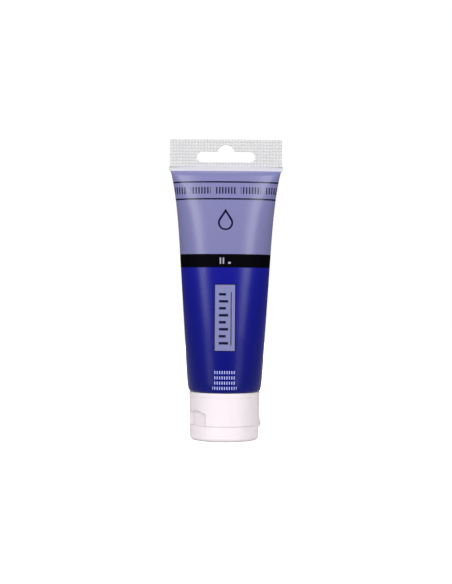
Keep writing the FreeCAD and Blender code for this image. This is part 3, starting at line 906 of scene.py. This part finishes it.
@dataclass
class Header:
    """The flat hanging end with its waffle crimp and slot; sizes in mm."""

    half_width: float = 24.6
    low: float = 119.5
    high: float = 131.62
    columns: int = 36
    rows: int = 9
    half_thick: float = 0.40
    relief: float = 0.10
    groove: float = 0.17
    pad_slope: float = 0.16
    slot_middle: float = 124.0
    slot_half: float = 12.8
    slot_round: float = 2.42
    rise_radius: float = 3.67
    rise_top: float = 129.37
    cutter_depth: float = 6.0
    cutter_sides: int = 64

    def sheet(self, facing: Facing) -> bpy.types.Object:
        """One face of the tab, as a grid of small raised pads.

        Args:
            facing: the side the sheet looks to.

        Returns:
            The sheet.
        """
        deselect()
        turn = math.radians(90) * -facing.value
        bpy.ops.mesh.primitive_grid_add(
            x_subdivisions=self.columns, y_subdivisions=self.rows, size=1.0,
            location=(0, facing.value * self.half_thick * MM, (self.low + self.high) / 2 * MM),
            rotation=(turn, 0, 0))
        sheet = bpy.context.object
        sheet.scale = (2 * self.half_width * MM, (self.high - self.low) * MM, 1)
        apply_place(sheet)
        bpy.ops.object.mode_set(mode="EDIT")
        bpy.ops.mesh.select_mode(type="FACE")
        bpy.ops.mesh.select_all(action="SELECT")
        bpy.ops.mesh.inset(thickness=self.groove * MM, depth=0.0, use_individual=True)
        bpy.ops.mesh.inset(thickness=self.pad_slope * MM, depth=self.relief * MM,
                           use_individual=True)
        bpy.ops.mesh.select_mode(type="VERT")
        bpy.ops.object.mode_set(mode="OBJECT")
        return sheet

    def build(self) -> bpy.types.Object:
        """Join the two faces, close the rim and cut the hanging slot.

        Returns:
            The header.
        """
        front, back = self.sheet(Facing.FRONT), self.sheet(Facing.BACK)
        deselect()
        front.select_set(True)
        back.select_set(True)
        bpy.context.view_layer.objects.active = front
        bpy.ops.object.join()
        front.name = "header_tab"
        bpy.ops.object.mode_set(mode="EDIT")
        bpy.ops.mesh.select_all(action="DESELECT")
        bpy.ops.mesh.select_mode(type="EDGE")
        bpy.ops.mesh.select_non_manifold()
        bpy.ops.mesh.bridge_edge_loops()
        bpy.ops.mesh.select_mode(type="VERT")
        bpy.ops.object.mode_set(mode="OBJECT")
        tidy_normals(front)
        for cutter in self.cutters():
            apply_modifier(front, "BOOLEAN", {"operation": "DIFFERENCE", "solver": "EXACT",
                                              "object": cutter})
            bpy.data.objects.remove(cutter)
        smooth_by_angle(front, 25)
        return front

    def dress(self, header: bpy.types.Object) -> None:
        """Give the header its film."""
        set_materials(header, [WeldedFilm().make()])

    def cutters(self) -> list[bpy.types.Object]:
        """The slot's wings, middle and round rise, as cutting solids.

        Returns:
            The solids.
        """
        out = []
        reach = self.slot_half - self.slot_round
        rounds = [(-reach, self.slot_middle, self.slot_round),
                  (reach, self.slot_middle, self.slot_round),
                  (0.0, self.rise_top - self.rise_radius, self.rise_radius)]
        for x, z, radius in rounds:
            deselect()
            bpy.ops.mesh.primitive_cylinder_add(
                vertices=self.cutter_sides, radius=radius * MM, depth=self.cutter_depth * MM,
                location=(x * MM, 0, z * MM), rotation=(math.radians(90), 0, 0))
            out.append(bpy.context.object)
        deselect()
        bpy.ops.mesh.primitive_cube_add(size=1, location=(0, 0, self.slot_middle * MM))
        bar = bpy.context.object
        bar.scale = (2 * reach * MM, self.cutter_depth * MM, 2 * self.slot_round * MM)
        out.append(bar)
        for cutter in out:
            apply_place(cutter)
        return out


# --------------------------------------------------------------- the hinge
@dataclass
class HingeWeb:
    """The living hinge: a thin strip, thinnest half way, that bends; sizes in mm."""

    length: float = 10.0
    thick: float = 0.30
    waist: float = 0.7  # share of the thickness left half way up
    overlap: float = 0.08  # how far it runs into each land
    edge_round: float = 0.04
    cuts: int = 11

    def build(self) -> bpy.types.Object:
        """Cut a slim block into rows, draw in its waist and round its edges.

        Returns:
            The web.
        """
        low, high = (Vector(corner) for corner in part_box("hinge_film"))
        middle = (low + high) / 2
        tall = high.z - low.z + 2 * self.overlap * MM
        deselect()
        bpy.ops.mesh.primitive_cube_add(size=1, location=middle, rotation=(
            0, 0, math.atan2(middle.y, middle.x)))
        web = bpy.context.object
        web.name = "hinge_web"
        web.scale = (self.thick * MM, self.length * MM, tall)
        apply_place(web)
        bpy.ops.object.mode_set(mode="EDIT")
        bpy.ops.mesh.select_all(action="DESELECT")
        bpy.ops.mesh.select_mode(type="EDGE")
        shape = bmesh.from_edit_mesh(web.data)
        for edge in shape.edges:
            a, b = edge.verts
            edge.select_set(abs(a.co.z - b.co.z) > tall / 2)
        bmesh.update_edit_mesh(web.data)
        bpy.ops.mesh.subdivide(number_cuts=self.cuts)
        bpy.ops.mesh.select_mode(type="VERT")
        bpy.ops.object.mode_set(mode="OBJECT")
        out = Vector((middle.x, middle.y, 0)).normalized()
        for vertex in web.data.vertices:
            off = (vertex.co - middle).dot(out)
            share = min(1.0, abs(vertex.co.z - middle.z) / (tall / 2))
            draw = self.waist + (1 - self.waist) * share ** 2
            vertex.co -= out * off * (1 - draw)
        apply_modifier(web, "BEVEL", {"width": self.edge_round * MM, "segments": 2,
                                      "limit_method": "ANGLE", "angle_limit": 0.9})
        tidy_normals(web)
        smooth_by_angle(web, 40)
        return web

    def dress(self, web: bpy.types.Object, plastic: bpy.types.Material) -> None:
        """Give the web the cap's plastic."""
        set_materials(web, [plastic])

    def join_bodies(self, web: bpy.types.Object) -> None:
        """Put the web's place into its mesh, and hide the CAD hinge film.

        Args:
            web: the web.
        """
        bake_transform(web)
        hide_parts("hinge_film")


# ------------------------------------------------------------------ studio
@dataclass
class Studio:
    """Pale floor, soft lights and the camera; sizes in mm."""

    eye_height: float = 64.6
    eye_back: float = 559.0
    eye_side: float = 0.39
    lens: float = 78.3
    sensor: float = 36.0
    roll: float = -0.38
    floor_size: float = 6000.0
    floor_drop: float = 0.05  # keeps the floor off the lid's face
    floor_colour: str = "FAFAFA"
    floor_glow: float = 0.87
    bounce_near: str = "CACACC"
    bounce_far: str = "B0B0B2"
    card_radius: float = 26.0
    room_light: float = 0.13
    lamp_away: float = 800.0
    lamp_height: float = 560.0
    lamp_tall: float = 950.0
    aim_height: float = 80.0
    # name, degrees round from the camera's side, width and watts
    lamp_list: tuple[tuple[str, float, float, float], ...] = (
        ("soft_box_left", -42, 270, 6.6), ("soft_box_right", 39, 270, 6.2),
        ("soft_box_back", 180, 220, 6.0))

    def build(self) -> None:
        """Set up the floor, lights, world and camera."""
        self.floor()
        self.lamps()
        self.world()
        self.camera()
        bpy.context.scene.view_settings.view_transform = "Standard"

    def floor(self) -> None:
        """A pale matt floor that keeps the shadow."""
        deselect()
        bpy.ops.mesh.primitive_plane_add(size=self.floor_size * MM,
                                         location=(0, 0, -self.floor_drop * MM))
        floor = bpy.context.object
        floor.name = "studio_floor"
        material, tree = start_material("studio floor, white paper")
        path = add_node(tree, "ShaderNodeLightPath")
        shader = add_node(tree, "ShaderNodeBsdfDiffuse", {}, {0: linear(self.floor_colour)})
        # other rays see a pale card under the tube, and a greyer floor beyond it
        place = add_node(tree, "ShaderNodeTexCoord").outputs["Object"]
        away = add_node(tree, "ShaderNodeVectorMath", {"operation": "LENGTH"}, {0: place})
        beyond = add_node(tree, "ShaderNodeMapRange", {"interpolation_type": "SMOOTHSTEP"}, {
            "Value": away.outputs["Value"], "From Min": self.card_radius * MM,
            "From Max": 2 * self.card_radius * MM})
        tone = add_node(tree, "ShaderNodeMix", {"data_type": "RGBA"}, {
            0: beyond.outputs[0], 6: linear(self.bounce_near), 7: linear(self.bounce_far)})
        bounce = add_node(tree, "ShaderNodeBsdfDiffuse", {}, {0: tone.outputs[2]})
        glow = add_node(tree, "ShaderNodeEmission", {}, {0: WHITE, 1: self.floor_glow})
        both = add_node(tree, "ShaderNodeAddShader", {}, {0: shader.outputs[0],
                                                          1: glow.outputs[0]})
        mix = add_node(tree, "ShaderNodeMixShader", {}, {
            0: path.outputs["Is Camera Ray"], 1: bounce.outputs[0], 2: both.outputs[0]})
        add_node(tree, "ShaderNodeOutputMaterial", {}, {"Surface": mix.outputs[0]})
        set_materials(floor, [material])

    def lamps(self) -> None:
        """Two tall soft boxes, one at each side of the camera, and one behind."""
        aim = Vector((0, 0, self.aim_height * MM))
        for name, degrees, width, watts in self.lamp_list:
            angle = math.radians(degrees)
            spot = Vector((math.sin(angle) * self.lamp_away, -math.cos(angle) * self.lamp_away,
                           self.lamp_height)) * MM
            light = bpy.data.lights.new(name, "AREA")
            light.shape = "RECTANGLE"
            light.size, light.size_y = width * MM, self.lamp_tall * MM
            light.energy = watts
            lamp = bpy.data.objects.new(name, light)
            bpy.context.scene.collection.objects.link(lamp)
            lamp.visible_camera = False
            lamp.location = spot
            lamp.rotation_euler = (aim - spot).to_track_quat("-Z", "Y").to_euler()

    def world(self) -> None:
        """An even white room, shown pure white to the camera."""
        world = bpy.data.worlds.new("white_room")
        bpy.context.scene.world = world
        world.use_nodes = True
        tree = world.node_tree
        tree.nodes.clear()
        path = add_node(tree, "ShaderNodeLightPath")
        strength = add_node(tree, "ShaderNodeMapRange", {}, {
            "Value": path.outputs["Is Camera Ray"], "To Min": self.room_light, "To Max": 1.0})
        back = add_node(tree, "ShaderNodeBackground", {}, {0: WHITE, 1: strength.outputs[0]})
        add_node(tree, "ShaderNodeOutputWorld", {}, {"Surface": back.outputs[0]})

    def camera(self) -> None:
        """A level camera in front."""
        data = bpy.data.cameras.new("front_camera")
        data.lens = self.lens
        data.sensor_width = self.sensor
        camera = bpy.data.objects.new("front_camera", data)
        bpy.context.scene.collection.objects.link(camera)
        camera.location = (self.eye_side * MM, -self.eye_back * MM, self.eye_height * MM)
        camera.rotation_euler = (math.radians(90), math.radians(self.roll), 0)
        bpy.context.scene.camera = camera


# -------------------------------------------------------------------- main
def report(piece: bpy.types.Object) -> None:
    """Log a finished piece."""
    LOG.info("%s: %d faces", piece.name, len(piece.data.polygons))


def main() -> None:
    """Build the tube's looks round the fixed frame."""
    logging.basicConfig(level=logging.INFO, format="%(name)s: %(message)s")
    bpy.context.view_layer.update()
    cap_white = CapAndHead().dress()

    shape, hinge, tab = Sleeve(), HingeWeb(), Header()
    sleeve = shape.build()
    shape.dress(sleeve)
    web = hinge.build()
    header = tab.build()
    tab.dress(header)
    for piece in (sleeve, header):
        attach(piece, "tube")
        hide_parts("tube_sleeve")
        report(piece)
    hinge.join_bodies(web)
    hinge.dress(web, cap_white)
    report(web)
    Studio().build()


if __name__ == "__main__":
    main()
